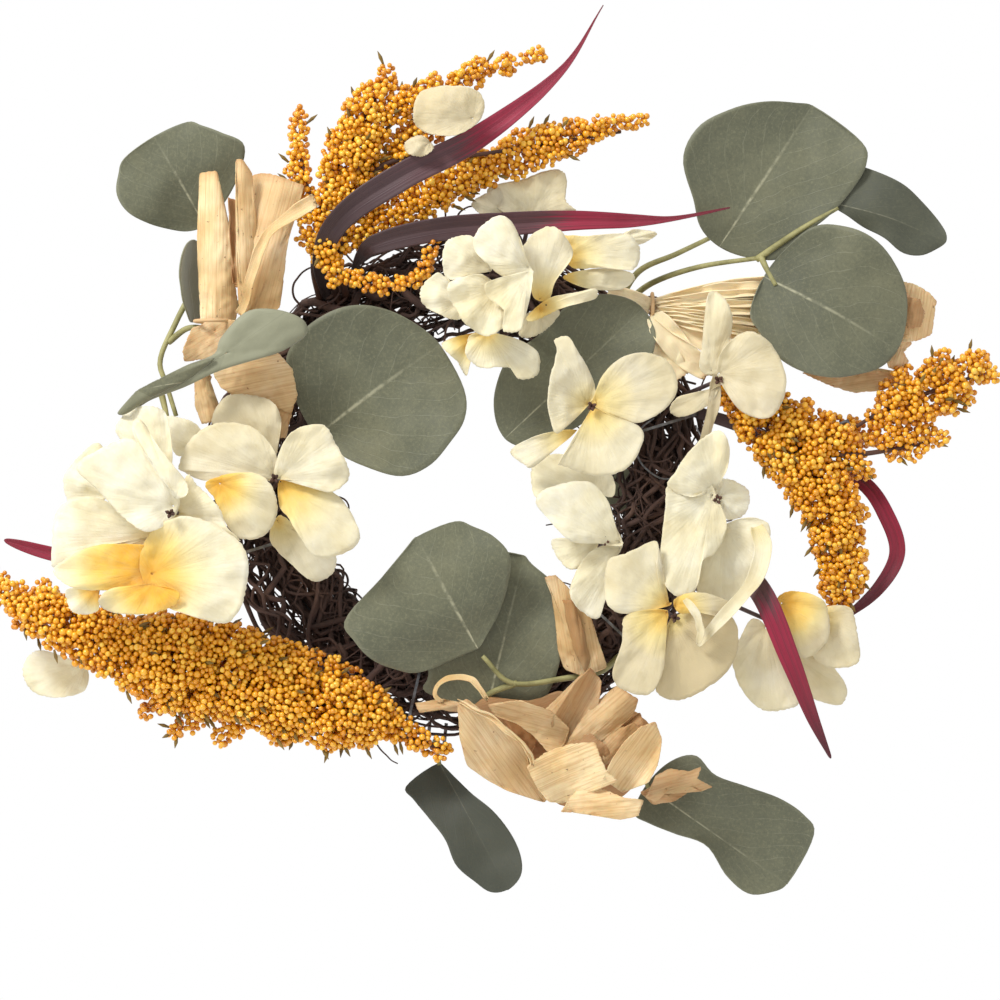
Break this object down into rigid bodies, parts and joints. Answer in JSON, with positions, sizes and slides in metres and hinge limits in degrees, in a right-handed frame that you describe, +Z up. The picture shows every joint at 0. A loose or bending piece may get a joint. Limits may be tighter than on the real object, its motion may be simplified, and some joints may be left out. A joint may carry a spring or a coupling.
{
  "type": "harvest door wreath",
  "caption": "Harvest door wreath: a round twig ring dressed with fabric leaves and flowers, berry sprays, grass blades and husk bows, on a wire hanging loop.",
  "frame": {"origin": "on the face of the door, at the nail inside the top of the hanging loop", "axes": "+X right as seen by someone facing the door, +Y into the door, +Z up; the wreath stands out toward -Y"},
  "size_m": [0.4537, 0.1053, 0.3866],
  "materials": {
    "twigs": "dry dark bark",
    "wire": "dull annealed wire",
    "petals": "translucent cream cloth with golden bases",
    "leaf": "matt grey-green cloth with pale veins",
    "stem": "khaki moulded stem",
    "grass": "ribbed crimson cloth",
    "berries": "glossy mustard beads",
    "husk": "dry straw-coloured husk"
  },
  "bodies": {
    "wreath": {"twig_ring": "twigs", "frame_wire": "wire", "binding_wires": "wire", "bloom_1": "petals", "bloom_2": "petals", "bloom_3": "petals", "bloom_4": "petals", "bloom_5": "petals", "bloom_6": "petals", "bloom_7": "petals", "bloom_8": "petals", "bloom_9": "petals", "bloom_10": "petals", "bloom_11": "petals", "bloom_12": "petals", "bloom_13": "petals", "leaf_1": "leaf", "leaf_2": "leaf", "leaf_3": "leaf", "leaf_4": "leaf", "leaf_5": "leaf", "leaf_6": "leaf", "leaf_7": "leaf", "leaf_8": "leaf", "leaf_9": "leaf", "leaf_10": "leaf", "leaf_13": "leaf", "eucalyptus_stem_1": "stem", "eucalyptus_stem_2": "stem", "eucalyptus_stem_3": "stem", "eucalyptus_stem_4": "stem", "blade_1": "grass", "blade_2": "grass", "blade_3": "grass", "blade_4": "grass", "blade_5": "grass", "berries_1": "berries", "berries_2": "berries", "berries_3": "berries", "husk_1": "husk", "husk_2": "husk", "husk_3": "husk", "posing_staples": "wire", "hanger_eye": "wire", "husk_tie_1": "husk", "husk_tie_2": "husk"},
    "leaf_11": {"leaf_11": "leaf"},
    "leaf_12": {"leaf_12": "leaf"},
    "berry_sprig": {"berry_sprig": "berries"},
    "hanger_loop": {"hanger_loop": "wire"}
  },
  "joints": [
    {"name": "hanger_swing", "type": "hinge", "parent": "wreath", "child": "hanger_loop", "pos_m": [0, -0.0026, -0.024], "axis": [-1, 0, 0], "range_deg": [0, 170]},
    {"name": "leaf_11_bend", "type": "hinge", "parent": "wreath", "child": "leaf_11", "pos_m": [-0.01223, -0.024, -0.22436], "axis": [-0.9945, 0, 0.1045], "range_deg": [0, 30]},
    {"name": "leaf_12_bend", "type": "hinge", "parent": "wreath", "child": "leaf_12", "pos_m": [0.06543, -0.024, -0.205], "axis": [-0.829, 0, -0.5592], "range_deg": [0, 15]},
    {"name": "berry_sprig_bend", "type": "hinge", "parent": "wreath", "child": "berry_sprig", "pos_m": [0.171, -0.056, -0.083], "axis": [0.3746, 0, -0.9272], "range_deg": [0, 30]}
  ]
}
